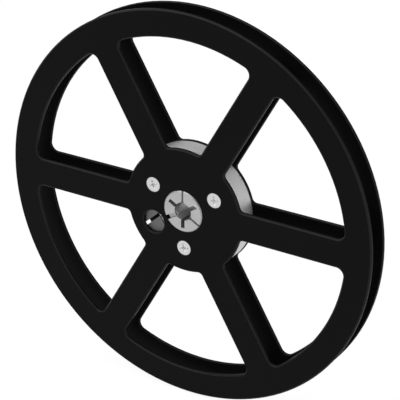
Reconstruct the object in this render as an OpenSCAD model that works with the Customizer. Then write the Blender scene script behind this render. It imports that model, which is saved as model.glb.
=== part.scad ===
// Seven inch open reel for quarter inch recording tape.
// Two spoked metal flanges are screwed to a slotted hub, and a keyed bush in the
// middle takes the spindle of the recorder. The reel stands upright, as it is
// carried on a spindle that lies level: its axis is Y, its front face looks along
// -Y, +Z is up, and the origin is on the axis, halfway between the flanges.
// Each piece is drawn about the Z axis with the front of the reel upwards, and
// turned upright at the end. Angles are counted from +X towards +Z.

/* [Reel] */
// Outer diameter of the flanges
reel_d = 178; // [140:1:220]
// Width over the outer faces of the flanges
reel_w = 12.3; // [10:0.1:16]

/* [Flanges] */
// Thickness of each flange
flange_t = 1.8; // [1.4:0.1:2.6]
// Radial width of the rim, outside the windows
rim_w = 11.9; // [8:0.1:16]
// How far the middle disc of a flange stands out past the hub
disc_lip = 0.4; // [0.1:0.1:2]
// Number of spokes and of windows
spoke_count = 6; // [4:1:8]
// Width of each spoke
spoke_w = 13; // [8:0.5:18]
// Turn of the spokes against the screw holes, in degrees
spoke_turn = 0.2; // [0:0.05:1]
// Radius of the window corners at the rim
rim_corner_r = 3.5; // [1:0.25:5]
// Radius of the window corners at the middle disc
disc_corner_r = 2.25; // [1:0.25:3]
// Bevel along the edges of a flange's outer face
outer_bevel = 0.6; // [0.2:0.1:0.8]
// Bevel along the edges of a flange's inner face
inner_bevel = 0.3; // [0.1:0.1:0.5]

/* [Threading hole] */
// Diameter of the hole through which the tape end is led into the hub
thread_hole_d = 10.3; // [8:0.1:13]
// Diameter of the circle on which the threading hole lies
thread_hole_pcd = 35; // [32:0.5:40]

/* [Hub] */
// Diameter on which the tape is wound
hub_d = 56; // [52:0.5:80]
// Radial width of the ring gap round the bush, at each end of the hub
ring_gap_w = 0.7; // [0.4:0.1:1.5]
// Depth of the ring gap
ring_gap_depth = 2; // [1:0.1:3]
// Width of the slot that takes the tape end
slot_w = 1.4; // [1:0.1:2.5]
// Direction in which the slot runs outwards
slot_angle = 222; // [214:1:226]
// Distance from the reel's axis to the middle plane of the slot
slot_offset = 4.8; // [2:0.1:6]
// Rounding of the lips at both ends of the slot
slot_lip_r = 1; // [0.5:0.1:1.5]

/* [Spindle bush] */
// Diameter of the bush between the flanges
bush_d = 27.4; // [22:0.1:28]
// Diameter of the boss that shows in the middle of each flange
boss_d = 18.9; // [18:0.1:21]
// Height of the boss over the flange
boss_h = 0.4; // [0.2:0.1:2]
// Bevel round the boss
boss_bevel = 0.4; // [0.1:0.1:0.6]
// Diameter of the spindle bore
bore_d = 8; // [7:0.1:9]
// Bevel at the mouths of the bore
bore_bevel = 0.2; // [0.1:0.1:0.5]
// Width of the three keyways
keyway_w = 1.8; // [1.4:0.1:2]
// Diameter across the ends of the keyways
keyway_d = 15.4; // [12:0.1:16]
// Width of the narrow grooves across the boss
groove_w = 0.9; // [0.5:0.1:1.2]
// Width of the wide groove across the boss
wide_groove_w = 2; // [1.4:0.1:2.5]
// Depth of the grooves across the boss
groove_depth = 1; // [0.2:0.1:1.2]
// Width of the notch where a groove meets the bore
root_notch_w = 1.6; // [1.2:0.1:2]
// Diameter across the ends of those notches
root_notch_d = 9.6; // [9.2:0.1:11]
// Depth of those notches
root_notch_depth = 1.5; // [1.3:0.1:2]

/* [Key between flange and bush] */
// Width of the tongue on the flange
tongue_w = 1.8; // [1.2:0.1:2.4]
// Radial length of the tongue
tongue_reach = 1.1; // [0.8:0.1:1.4]
// Thickness of the tongue, from the inner face of the flange
tongue_t = 1; // [0.6:0.1:1.2]

/* [Screws] */
// Thread diameter of the countersunk screws
screw_d = 3.5; // [3:0.1:4]
// Head diameter of the screws
screw_head_d = 6.6; // [6:0.1:8]
// Depth of a head below the face of the flange
screw_sink = 0.3; // [0.1:0.1:0.4]
// Diameter of the circle on which the screws lie
screw_pcd = 35; // [33:0.5:40]
// Distance between the tips of a front and a rear screw
screw_tip_gap = 0.9; // [0.5:0.1:2]
// Span of the cross recess at the top of the head
cross_span = 4; // [3:0.1:4.5]
// Span of the cross recess at its floor
cross_floor = 1.6; // [1:0.1:2]
// Width of the arms of the cross recess
cross_w = 0.8; // [0.6:0.1:1]
// Depth of the cross recess
cross_depth = 1.4; // [1:0.1:1.6]

/* [Fits] */
// Radial clearance between the bush and what surrounds it
bush_fit = 0.05; // [0.02:0.01:0.1]
// Radial clearance round the screws
screw_fit = 0.05; // [0.02:0.01:0.1]
// Clearance on each side of the tongue
tongue_fit = 0.1; // [0.05:0.05:0.2]

/* [Hidden] */
$fn = 120;
// What a cut reaches past the faces that it goes through
over = 0.5;
// How far spokes and corner webs reach into the rim and the disc
bite = 1.5;
// How far a rounded corner runs into its neighbours, so that they cross cleanly
lap = 0.02;
// Turns between like features
third = 120;
key_angles = [30, 150, 270];
narrow_groove_angles = [90, 330];
wide_groove_angle = 210;
thread_hole_angle = 210;
flip_angle = 30;
// How far each screw is turned, in the order of the key angles
front_turns = [66, 50, 10];
rear_turns = [35, 20, 5];

reel_r = reel_d / 2;
window_r = reel_r - rim_w;
hub_r = hub_d / 2;
hub_w = reel_w - 2 * flange_t;
disc_r = hub_r + disc_lip;
bush_r = bush_d / 2;
boss_r = boss_d / 2;
bore_r = bore_d / 2;
bush_len = reel_w + 2 * boss_h;
spoke_half = spoke_w / 2;
spoke_step = 360 / spoke_count;
screw_r = screw_d / 2;
screw_head_r = screw_head_d / 2;
screw_cone_h = screw_head_r - screw_r;
screw_len = reel_w / 2 - screw_sink - screw_tip_gap / 2;
screw_hole_r = screw_r + screw_fit;
ring_gap_r = bush_r + bush_fit + ring_gap_w;

flange_paint = [0.07, 0.07, 0.075];
satin_metal = [0.74, 0.74, 0.75];
bush_metal = [0.8, 0.8, 0.8];
screw_metal = [0.9, 0.9, 0.9];

// Stands a piece upright: its Z axis turns to -Y
module upright() {
    rotate([90, 0, 0]) children();
}

// Turns a piece over about the line through the threading hole, to the rear
module flipped() {
    rotate([0, 0, flip_angle]) rotate([180, 0, 0]) rotate([0, 0, -flip_angle]) children();
}

// Places a piece on a circle of diameter pcd
module on_circle(pcd, angle) {
    rotate([0, 0, angle]) translate([pcd / 2, 0, 0]) children();
}

// Cross-section of a flange between two bevelled edges, from its inner face up
function plate_section(from, to) = [
    [from + inner_bevel, 0], [to - inner_bevel, 0],
    [to, inner_bevel], [to, flange_t - outer_bevel],
    [to - outer_bevel, flange_t], [from + outer_bevel, flange_t],
    [from, flange_t - outer_bevel], [from, inner_bevel]
];

// Half cross-section of the middle disc of a flange
function disc_section() = [
    [0, 0], [disc_r - inner_bevel, 0], [disc_r, inner_bevel],
    [disc_r, flange_t - outer_bevel], [disc_r - outer_bevel, flange_t], [0, flange_t]
];

// Half cross-section of a hole with bevelled edges
function hole_section(r) = [
    [0, -over], [r + inner_bevel + over, -over], [r, inner_bevel],
    [r, flange_t - outer_bevel], [r + outer_bevel + over, flange_t + over], [0, flange_t + over]
];

// Round hole through a flange, with both edges bevelled
module bevelled_hole(r) {
    rotate_extrude() polygon(hole_section(r));
}

// Cone and shank hole for a countersunk screw, from the outer face down
module screw_hole(depth) {
    mouth_r = screw_head_r + screw_sink + screw_fit;
    cone_h = mouth_r - screw_hole_r;
    translate([0, 0, -cone_h]) cylinder(h = cone_h, r1 = screw_hole_r, r2 = mouth_r);
    cylinder(h = over, r = mouth_r);
    translate([0, 0, -depth]) cylinder(h = depth, r = screw_hole_r);
}

// Turns the rim, the spokes and the edge of the disc against the screw holes
module spokes_turned() {
    rotate([0, 0, -spoke_turn]) children();
}

// One spoke, along +X, from inside the disc to inside the rim
module spoke() {
    start = disc_r - bite;
    translate([start, 0, 0]) rotate([90, 0, 90])
        linear_extrude(height = window_r + bite - start)
            polygon(plate_section(-spoke_half, spoke_half));
}

// Web that rounds a window corner of radius r about centre c
// outwards points from the centre to the arc that the corner runs into
module corner_web(c, r, outwards) {
    reach = r + bite;
    sideways = [0, -1];
    difference() {
        linear_extrude(height = flange_t)
            polygon([
                c, c + reach * outwards,
                c + reach * (outwards + sideways), c + reach * sideways
            ]);
        translate(c) bevelled_hole(r + lap);
    }
}

// The four corner webs beside the spoke that lies along +X
module corner_webs() {
    rim_c_r = window_r - rim_corner_r;
    rim_c_y = spoke_half + rim_corner_r;
    rim_c = [sqrt(rim_c_r * rim_c_r - rim_c_y * rim_c_y), rim_c_y];
    disc_c_r = disc_r + disc_corner_r;
    disc_c_y = spoke_half + disc_corner_r;
    disc_c = [sqrt(disc_c_r * disc_c_r - disc_c_y * disc_c_y), disc_c_y];
    for (side = [0, 1]) mirror([0, side, 0]) {
        corner_web(rim_c, rim_corner_r, rim_c / rim_c_r);
        corner_web(disc_c, disc_corner_r, -disc_c / disc_c_r);
    }
}

// Tongue in the middle hole of a flange, which keys it to the bush
module tongue() {
    start = boss_r - tongue_reach;
    rotate([0, 0, wide_groove_angle]) translate([start, -tongue_w / 2, 0])
        cube([tongue_reach + bite, tongue_w, tongue_t]);
}

// Middle disc of a flange, with the holes for the boss, the screws and the tape end
module middle_disc() {
    difference() {
        spokes_turned() rotate_extrude() polygon(disc_section());
        translate([0, 0, -over]) cylinder(h = flange_t + 2 * over, r = boss_r + bush_fit);
        on_circle(thread_hole_pcd, thread_hole_angle) bevelled_hole(thread_hole_d / 2);
        for (a = key_angles) on_circle(screw_pcd, a)
            translate([0, 0, flange_t]) screw_hole(flange_t + over);
    }
    tongue();
}

// A flange, with its inner face at z = 0
module flange_plate() {
    spokes_turned() rotate_extrude() polygon(plate_section(window_r, reel_r));
    middle_disc();
    spokes_turned() for (i = [0 : spoke_count - 1]) rotate([0, 0, i * spoke_step]) {
        spoke();
        corner_webs();
    }
}

module front_flange() {
    color(flange_paint) upright() translate([0, 0, hub_w / 2]) flange_plate();
}

module rear_flange() {
    color(flange_paint) upright() flipped() translate([0, 0, hub_w / 2]) flange_plate();
}

// Outline of one slot end: a flare with rounded lips, open for a length reach towards +X
module slot_lips(reach) {
    half = slot_w / 2 + slot_lip_r;
    difference() {
        translate([0, -half]) square([slot_lip_r + reach, 2 * half]);
        for (side = [-1, 1]) translate([0, side * half]) circle(r = slot_lip_r);
    }
}

// Slot for the tape end, from the bush out through the winding surface
module tape_slot() {
    widest = slot_offset + slot_w / 2 + slot_lip_r;
    start = sqrt(bush_r * bush_r - widest * widest) - over;
    inner = sqrt(ring_gap_r * ring_gap_r - slot_offset * slot_offset);
    outer = sqrt(hub_r * hub_r - slot_offset * slot_offset);
    rotate([0, 0, slot_angle]) translate([0, -slot_offset, -hub_w / 2 - over])
        linear_extrude(height = hub_w + 2 * over) {
            translate([start, -slot_w / 2]) square([outer - start + over, slot_w]);
            translate([outer - slot_lip_r, 0]) slot_lips(2 * over);
            translate([inner + slot_lip_r, 0]) mirror([1, 0]) slot_lips(inner - start);
        }
}

module hub() {
    half = hub_w / 2;
    color(satin_metal) upright() difference() {
        rotate_extrude() polygon([
            [ring_gap_r, -half], [hub_r, -half], [hub_r, half], [ring_gap_r, half],
            [ring_gap_r, half - ring_gap_depth], [bush_r + bush_fit, half - ring_gap_depth],
            [bush_r + bush_fit, ring_gap_depth - half], [ring_gap_r, ring_gap_depth - half]
        ]);
        tape_slot();
        for (a = key_angles) on_circle(screw_pcd, a) {
            translate([0, 0, reel_w / 2]) screw_hole(reel_w);
            mirror([0, 0, 1]) translate([0, 0, reel_w / 2]) screw_hole(reel_w);
        }
    }
}

// What is cut into each end of the bush: grooves, notches at the bore and the key seat
module bush_end_cuts() {
    top = bush_len / 2;
    for (a = narrow_groove_angles) rotate([0, 0, a])
        translate([0, -groove_w / 2, top - groove_depth])
            cube([boss_r + over, groove_w, groove_depth + over]);
    rotate([0, 0, wide_groove_angle]) {
        seat_w = tongue_w + 2 * tongue_fit;
        translate([0, -wide_groove_w / 2, top - groove_depth])
            cube([boss_r + over, wide_groove_w, groove_depth + over]);
        translate([boss_r - tongue_reach - tongue_fit, -seat_w / 2, hub_w / 2])
            cube([tongue_reach + tongue_fit + over, seat_w, flange_t + boss_h + over]);
    }
    for (i = [0 : 2]) rotate([0, 0, wide_groove_angle + i * third])
        translate([0, -root_notch_w / 2, top - root_notch_depth])
            cube([root_notch_d / 2, root_notch_w, root_notch_depth + over]);
}

module spindle_bush() {
    top = bush_len / 2;
    shoulder = hub_w / 2;
    color(bush_metal) upright() difference() {
        rotate_extrude() polygon([
            [bore_r, bore_bevel - top], [bore_r + bore_bevel, -top],
            [boss_r - boss_bevel, -top], [boss_r, boss_bevel - top],
            [boss_r, -shoulder], [bush_r, -shoulder], [bush_r, shoulder],
            [boss_r, shoulder], [boss_r, top - boss_bevel], [boss_r - boss_bevel, top],
            [bore_r + bore_bevel, top], [bore_r, top - bore_bevel]
        ]);
        for (a = key_angles) rotate([0, 0, a])
            translate([0, -keyway_w / 2, -top - over])
                cube([keyway_d / 2, keyway_w, bush_len + 2 * over]);
        bush_end_cuts();
        flipped() bush_end_cuts();
    }
}

// Arms of the cross recess, from the top of the head down
module cross_recess() {
    for (turn = [0, 90]) rotate([0, 0, turn]) rotate([90, 0, 0])
        linear_extrude(height = cross_w, center = true)
            polygon([
                [-cross_floor / 2, -cross_depth], [cross_floor / 2, -cross_depth],
                [cross_span / 2, 0], [cross_span / 2, over], [-cross_span / 2, over],
                [-cross_span / 2, 0]
            ]);
}

// Countersunk screw number i in its place on the front, turned by its entry in turns
module seated_screw(i, turns) {
    color(screw_metal) on_circle(screw_pcd, key_angles[i])
        translate([0, 0, reel_w / 2 - screw_sink]) rotate([0, 0, turns[i]]) difference() {
            rotate_extrude() polygon([
                [0, -screw_len], [screw_r, -screw_len], [screw_r, -screw_cone_h],
                [screw_head_r, 0], [0, 0]
            ]);
            cross_recess();
        }
}

module front_screw(i) {
    upright() seated_screw(i, front_turns);
}

// Turned over, screws 1 and 2 change places: 2 is on the left, seen from the front
module rear_screw(i) {
    upright() flipped() seated_screw(i, rear_turns);
}

front_flange();
rear_flange();
hub();
spindle_bush();
front_screw(0);  // front_screw_right
front_screw(1);  // front_screw_left
front_screw(2);  // front_screw_bottom
rear_screw(0);  // rear_screw_right
rear_screw(2);  // rear_screw_left
rear_screw(1);  // rear_screw_bottom
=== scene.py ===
# Open tape reel: two black spoked flanges on a silver hub, framed and lit as in the photograph
import math
import bpy
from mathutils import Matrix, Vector


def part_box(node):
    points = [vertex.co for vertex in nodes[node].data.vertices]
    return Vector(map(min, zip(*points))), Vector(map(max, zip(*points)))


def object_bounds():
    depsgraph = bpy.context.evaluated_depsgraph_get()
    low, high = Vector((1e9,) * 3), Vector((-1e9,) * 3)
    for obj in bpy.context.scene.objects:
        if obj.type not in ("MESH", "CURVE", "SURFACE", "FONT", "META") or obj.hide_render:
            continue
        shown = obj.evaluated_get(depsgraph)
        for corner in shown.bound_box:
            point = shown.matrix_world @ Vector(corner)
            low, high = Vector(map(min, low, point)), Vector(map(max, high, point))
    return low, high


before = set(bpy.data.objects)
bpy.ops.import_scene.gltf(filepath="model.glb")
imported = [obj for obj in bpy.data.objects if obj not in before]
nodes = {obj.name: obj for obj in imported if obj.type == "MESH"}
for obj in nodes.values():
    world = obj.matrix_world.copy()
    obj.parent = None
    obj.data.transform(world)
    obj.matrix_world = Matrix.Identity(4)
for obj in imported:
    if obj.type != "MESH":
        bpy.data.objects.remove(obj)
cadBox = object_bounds()
print("frame loaded:", len(nodes), "nodes")


class Wire:
    # one output socket of a node tree; expressions on it add Math nodes
    def __init__(self, tree, socket=None):
        self.tree = tree
        self.socket = socket

    # any other node: its type, its settings, then the values or links of its sockets
    def node(self, kind, settings=None, inputs=None, output=0):
        made = self.tree.nodes.new("ShaderNode" + kind)
        for key, value in (settings or {}).items():
            if key == "stops":
                for element, (place, tone) in zip(made.color_ramp.elements, value, strict=True):
                    element.position = place
                    element.color = (tone, tone, tone, 1)
            else:
                setattr(made, key, value)
        for key, value in (inputs or {}).items():
            if isinstance(value, Wire):
                self.tree.links.new(value.socket, made.inputs[key])
            else:
                made.inputs[key].default_value = value
        return Wire(self.tree, made.outputs[output] if made.outputs else None)

    def maths(self, operation, first, second=0.0):
        return self.node("Math", {"operation": operation}, {0: first, 1: second})

    def __add__(self, other):
        return self.maths("ADD", self, other)

    def __sub__(self, other):
        return self.maths("SUBTRACT", self, other)

    def __rsub__(self, other):
        return self.maths("SUBTRACT", other, self)

    def __mul__(self, other):
        return self.maths("MULTIPLY", self, other)

    __radd__ = __add__
    __rmul__ = __mul__


# starts an empty node tree on a material or the world
def startTree(owner):
    owner.use_nodes = True
    owner.node_tree.nodes.clear()
    return Wire(owner.node_tree)


# starts a material: itself, its tree, and the place on the object in metres
def startMaterial(name):
    material = bpy.data.materials.new(name)
    wire = startTree(material)
    return material, wire, wire.node("TexCoord", output="Object")


# one coordinate of a vector
def coordinate(wire, vector, axis):
    return wire.node("SeparateXYZ", {}, {"Vector": vector}, axis)


# mixes two colours by a factor; the first may be a plain colour or a link (6 and 7 are their sockets)
def blendColours(wire, factor, first, second):
    below = first if isinstance(first, Wire) else (*first, 1)
    return wire.node("Mix", {"data_type": "RGBA"}, {0: factor, 6: below, 7: (*second, 1)}, 2)


# noise at a grain size in metres
def grainNoise(wire, place, size, detail=2.0, roughness=0.5):
    inputs = {"Vector": place, "Scale": 1 / size, "Detail": detail, "Roughness": roughness}
    return wire.node("TexNoise", {}, inputs)


# noise along one measure only, for turned rings
def lineNoise(wire, measure, size, detail=2.0):
    inputs = {"W": measure, "Scale": 1 / size, "Detail": detail}
    return wire.node("TexNoise", {"noise_dimensions": "1D"}, inputs)


# swing to both sides of 0 with a noise, whose middle is 0.5
def sway(amount, noise):
    return amount * (noise - 0.5)


# a fine and a coarse noise together, by the share of the fine one
def together(share, fine, coarse):
    return share * fine + (1 - share) * coarse


# how far a node reaches from the reel's middle plane
def reachOf(name):
    low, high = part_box(name)
    return max(-low[1], high[1])


# 1 nearer than a distance to the reel's middle plane, 0 beyond it
def deeperThan(wire, place, distance):
    return wire.maths("LESS_THAN", wire.maths("ABSOLUTE", coordinate(wire, place, "Y")), distance)


# distance from the reel's axis
def radiusOf(wire, place):
    x = coordinate(wire, place, "X")
    z = coordinate(wire, place, "Z")
    return wire.maths("SQRT", x * x + z * z)


# a measure that grows both outwards over a face and along a wall, as a turning tool travels
def toolTravel(wire, place):
    return radiusOf(wire, place) + coordinate(wire, place, "Y")


# normal of a surface with fine turning marks round the reel's axis: the plain normal, leant along
# the profile by a noise that changes only from one mark to the next; the profile's direction is
# square to the normal and to the way round the axis
def turnedNormal(wire, place, s):
    plain = wire.node("NewGeometry", output="Normal")
    around = wire.node("VectorMath", {"operation": "CROSS_PRODUCT"}, {0: place, 1: (0.0, 1.0, 0.0)})
    around = wire.node("VectorMath", {"operation": "NORMALIZE"}, {0: around})
    along = wire.node("VectorMath", {"operation": "CROSS_PRODUCT"}, {0: plain, 1: around})
    mark = lineNoise(wire, toolTravel(wire, place), s["mark"], detail=1)
    push = wire.node("VectorMath", {"operation": "SCALE"}, {0: along, "Scale": sway(2 * s["lean"], mark)})
    leant = wire.node("VectorMath", {"operation": "ADD"}, {0: plain, 1: push})
    return wire.node("VectorMath", {"operation": "NORMALIZE"}, {0: leant})


# how squarely a surface faces front or rear: 1 on faces, 0 on walls
def facingOf(wire):
    normal = wire.node("TexCoord", output="Normal")
    return wire.maths("ABSOLUTE", coordinate(wire, normal, "Y"))


# up to the first a surface counts as a wall, and from the second as a face
slant = {"wall": 0.3, "face": 0.97}


# 1 on surfaces that slant between face and wall, 0 on faces and walls
def bevelOf(wire):
    facing = facingOf(wire)
    notWall = wire.maths("GREATER_THAN", facing, slant["wall"])
    return notWall * wire.maths("LESS_THAN", facing, slant["face"])


# closes a surface: everything that varies comes in here, and constants go onto their own sockets
def closeSurface(wire, s, colour, roughness, height, constants, base=None):
    bump = {"Height": height, "Distance": s["depth"], "Strength": s["strength"]}
    if base:
        bump["Normal"] = base
    normal = wire.node("Bump", {}, bump)
    inputs = {"Base Color": colour, "Roughness": roughness, "Normal": normal, **constants}
    surface = wire.node("BsdfPrincipled", {}, inputs)
    wire.node("OutputMaterial", {}, {"Surface": surface})


# In the four finishes below, lengths are in metres. grain, ring, mark, patch and cloud are the sizes
# of patterns, and fineShare is the finer pattern's part in the colour. roughGrain, roughRing and
# roughCloud say how far the roughness swings with a pattern, and roughRecess is added in a recess.
# depth and strength belong to the bump, and lean is how far a turning mark tips the normal.

# flanges: black paint with a fine grain; its bevels are painted lighter in patches, partly rubbed wear
# and partly a painted highlight
paint = {
    "dark": (0.0042, 0.0042, 0.0043), "light": (0.0064, 0.0064, 0.0065), "wornAndHighlight": (0.021, 0.021, 0.0212),
    "grain": 0.00028, "cloud": 0.03, "fineShare": 0.5,
    "patch": 0.004, "patchLeast": 0.6, "patchMore": 0.8,
    "roughness": 0.36, "roughGrain": 0.08, "roughCloud": 0.10, "specular": 0.042,
    "depth": 0.00004, "strength": 0.5, "mark": 0.00008, "lean": 0.1,
}


def satinPaint(name, s):
    material, wire, place = startMaterial(name)
    grain = grainNoise(wire, place, s["grain"], detail=3)
    cloud = grainNoise(wire, place, s["cloud"], detail=3)
    colour = blendColours(wire, together(s["fineShare"], grain, cloud), s["dark"], s["light"])
    rubbedAndHighlight = s["patchLeast"] + s["patchMore"] * grainNoise(wire, place, s["patch"], detail=3)
    # painted highlight: the bevels are painted lighter in patches, partly as rubbed wear
    colour = blendColours(wire, bevelOf(wire) * rubbedAndHighlight, colour, s["wornAndHighlight"])
    roughness = s["roughness"] + sway(s["roughGrain"], grain) + sway(s["roughCloud"], cloud)
    marks = turnedNormal(wire, place, s)
    closeSurface(wire, s, colour, roughness, grain, {"Specular IOR Level": s["specular"]}, marks)
    return material


# hub: turned aluminium; skin is how far in from an end the darker end face counts
turned = {
    "dark": (0.65, 0.65, 0.655), "light": (0.79, 0.79, 0.795), "face": (0.2, 0.2, 0.2), "skin": 0.00005,
    "ring": 0.00012, "cloud": 0.01, "fineShare": 0.6,
    "roughness": 0.62, "roughRing": 0.12, "roughCloud": 0.06,
    "depth": 0.00001, "strength": 0.4, "mark": 0.00009, "lean": 0.35,
}


def turnedAluminium(name, s):
    material, wire, place = startMaterial(name)
    rings = lineNoise(wire, toolTravel(wire, place), s["ring"], detail=3)
    cloud = grainNoise(wire, place, s["cloud"], detail=3)
    colour = blendColours(wire, together(s["fineShare"], rings, cloud), s["dark"], s["light"])
    endFace = 1 - deeperThan(wire, place, reachOf("hub") - s["skin"])
    colour = blendColours(wire, endFace, colour, s["face"])
    roughness = s["roughness"] + sway(s["roughRing"], rings) + sway(s["roughCloud"], cloud)
    marks = turnedNormal(wire, place, s)
    closeSurface(wire, s, colour, roughness, rings, {"Metallic": 1.0}, marks)
    return material


# bush: bead blasted aluminium; floors that lie deeper than skin below its ends are painted darker, as
# painted shade in the grooves
blasted = {
    "dark": (0.40, 0.40, 0.40), "light": (0.62, 0.62, 0.62),
    "sunkShade": (0.43, 0.43, 0.43), "edge": (0.42, 0.42, 0.42), "skin": 0.00015,
    "grain": 0.00018, "grainRoughness": 0.6, "cloud": 0.006, "fineShare": 0.5,
    "roughness": 0.52, "roughGrain": 0.10, "roughCloud": 0.08,
    "depth": 0.00005, "strength": 0.5,
}


def blastedAluminium(name, s):
    material, wire, place = startMaterial(name)
    grain = grainNoise(wire, place, s["grain"], roughness=s["grainRoughness"])
    cloud = grainNoise(wire, place, s["cloud"], detail=3)
    colour = blendColours(wire, together(s["fineShare"], grain, cloud), s["dark"], s["light"])
    level = wire.maths("GREATER_THAN", facingOf(wire), slant["face"])
    # painted shade: floors deeper in the grooves get a darker colour
    shadedFloors = deeperThan(wire, place, reachOf("spindle_bush") - s["skin"]) * level
    colour = blendColours(wire, shadedFloors, colour, s["sunkShade"])
    # painted shade: the bevels get a darker colour, which dulls their highlight
    colour = blendColours(wire, bevelOf(wire), colour, s["edge"])
    roughness = s["roughness"] + sway(s["roughGrain"], grain) + sway(s["roughCloud"], cloud)
    closeSurface(wire, s, colour, roughness, grain, {"Metallic": 1.0})
    return material


# screws: bright plating; deeper than skin below the head's face, as in the recess, it is rougher and
# painted paler, as painted light in the recess
plated = {
    "dark": (0.54, 0.54, 0.545), "light": (0.72, 0.72, 0.725),
    "recess": (0.97, 0.97, 0.97), "skin": 0.00007,
    "ring": 0.00016, "cloud": 0.003, "fineShare": 0.5,
    "roughness": 0.24, "roughRing": 0.10, "roughRecess": 0.25,
    "depth": 0.000008, "strength": 0.3,
}


# distance from the nearest of the axes that run through the middles of the named nodes
def fromNearestAxis(wire, place, names):
    flat = wire.node("VectorMath", {"operation": "MULTIPLY"}, {0: place, 1: (1.0, 0.0, 1.0)})
    nearest = 1.0  # metres, more than any distance on the reel
    for name in names:
        low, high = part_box(name)
        middle = (0.5 * (low[0] + high[0]), 0.0, 0.5 * (low[2] + high[2]))
        far = wire.node("VectorMath", {"operation": "DISTANCE"}, {0: flat, 1: middle}, "Value")
        nearest = wire.maths("MINIMUM", far, nearest)
    return nearest


def brightPlating(name, s, heads):
    material, wire, place = startMaterial(name)
    rings = lineNoise(wire, fromNearestAxis(wire, place, heads), s["ring"])
    cloud = grainNoise(wire, place, s["cloud"])
    colour = blendColours(wire, together(s["fineShare"], rings, cloud), s["dark"], s["light"])
    # painted light: the screw recesses get a paler colour
    recess = deeperThan(wire, place, reachOf(heads[0]) - s["skin"])
    colour = blendColours(wire, recess, colour, s["recess"])
    roughness = s["roughness"] + sway(s["roughRing"], rings) + s["roughRecess"] * recess
    closeSurface(wire, s, colour, roughness, rings, {"Metallic": 1.0})
    return material


def dress(name, material):
    slots = nodes[name].data.materials
    slots.clear()
    slots.append(material)


flangePaint = satinPaint("satin black paint", paint)
dress("front_flange", flangePaint)
dress("rear_flange", flangePaint)
dress("hub", turnedAluminium("turned aluminium", turned))
dress("spindle_bush", blastedAluminium("blasted aluminium", blasted))
screws = [name for name in nodes if "screw" in name]
# the rear screws stand behind the front ones, so the front ones' axes serve for both
screwPlating = brightPlating("bright plating", plated, [name for name in screws if "front" in name])
for name in screws:
    dress(name, screwPlating)
print("finishes on all nodes")

# where the photograph was taken from: angles in degrees, lens in millimetres, the rest in metres
view = {
    "azimuth": 32.2448, "elevation": 26.0612, "roll": -0.4321, "distance": 0.76516, "lens": 162.98,
    "aim": (0.0047637, -0.00025, 0.0041370), "clipStart": 0.01,
}


# unit vector towards an azimuth, counted from -Y towards +X, and an elevation
def direction(azimuth, elevation):
    a, e = math.radians(azimuth), math.radians(elevation)
    return Vector((math.sin(a) * math.cos(e), -math.cos(a) * math.cos(e), math.sin(e)))


# turns an object so that it looks along a direction
def lookAlong(thing, along):
    thing.rotation_euler = along.to_track_quat("-Z", "Y").to_euler()


def addCamera(s):
    camera = bpy.data.objects.new("camera", bpy.data.cameras.new("camera"))
    bpy.context.scene.collection.objects.link(camera)
    towards = direction(s["azimuth"], s["elevation"])
    camera.location = Vector(s["aim"]) + s["distance"] * towards
    lookAlong(camera, -towards)
    camera.rotation_euler.rotate_axis("Z", math.radians(s["roll"]))
    camera.data.lens = s["lens"]
    camera.data.clip_start = s["clipStart"]
    bpy.context.scene.camera = camera


addCamera(view)

# softboxes: angles in degrees, distance and sides in metres, light as the brightness of its face
lamps = {
    "overheadLeft": {"azimuth": -58, "elevation": 64, "distance": 1.4, "sides": (1.8, 1.5), "light": 2.8},
    "rightBack": {"azimuth": 105, "elevation": 50, "distance": 1.4, "sides": (1.1, 1.1), "light": 1.6},
    "rightLow": {"azimuth": 90, "elevation": 14, "distance": 1.3, "sides": (0.8, 0.7), "light": 1.2},
}


def addLamp(name, s):
    data = bpy.data.lights.new(name, "AREA")
    data.shape = "RECTANGLE"
    data.size, data.size_y = s["sides"]
    data.energy = s["light"] * math.pi * s["sides"][0] * s["sides"][1]
    lamp = bpy.data.objects.new(name, data)
    bpy.context.scene.collection.objects.link(lamp)
    towards = direction(s["azimuth"], s["elevation"])
    lamp.location = s["distance"] * towards
    lookAlong(lamp, -towards)
    lamp.visible_camera = False


for name, settings in lamps.items():
    addLamp(name, settings)

# white room: bright to a little above the horizon, dim overhead
room = {"horizon": 1.04, "ceiling": 0.04, "brightTo": 0.115, "dimFrom": 0.16}


def addRoom(s):
    world = bpy.context.scene.world or bpy.data.worlds.new("room")
    bpy.context.scene.world = world
    wire = startTree(world)
    height = coordinate(wire, wire.node("TexCoord", output="Generated"), "Z")
    stops = [(s["brightTo"], s["horizon"]), (s["dimFrom"], s["ceiling"])]
    tone = wire.node("ValToRGB", {"stops": stops}, {"Fac": height})
    light = wire.node("Background", {}, {"Color": tone, "Strength": 1.0})
    wire.node("OutputWorld", {}, {"Surface": light})


addRoom(room)

# pale floor, just under the rims; it shows white, with a little of the reel's shadow
ground = {"half": 6.0, "below": 0.0004, "colour": (0.8, 0.8, 0.8), "shadowShare": 0.12, "white": 1.06}


def addFloor(s):
    mesh = bpy.data.meshes.new("floor")
    h = s["half"]
    z = cadBox[0][2] - s["below"]
    mesh.from_pydata([(-h, -h, z), (h, -h, z), (h, h, z), (-h, h, z)], [], [(0, 1, 2, 3)])
    floor = bpy.data.objects.new("floor", mesh)
    bpy.context.scene.collection.objects.link(floor)
    material = bpy.data.materials.new("pale floor")
    wire = startTree(material)
    seen = wire.node("LightPath", output="Is Camera Ray") + wire.node("LightPath", output="Is Glossy Ray")
    seen = seen + wire.node("LightPath", output="Is Transmission Ray")
    lit = wire.node("BsdfDiffuse", {}, {"Color": (*s["colour"], 1)})
    white = wire.node("Emission", {}, {"Color": (1, 1, 1, 1), "Strength": s["white"]})
    share = (1 - s["shadowShare"]) * wire.maths("MINIMUM", seen, 1.0)
    wire.node("OutputMaterial", {}, {"Surface": wire.node("MixShader", {}, {0: share, 1: lit, 2: white})})
    mesh.materials.append(material)


addFloor(ground)
print("camera, lamps, room and floor in place")

bpy.context.scene.view_settings.view_transform = "Standard"
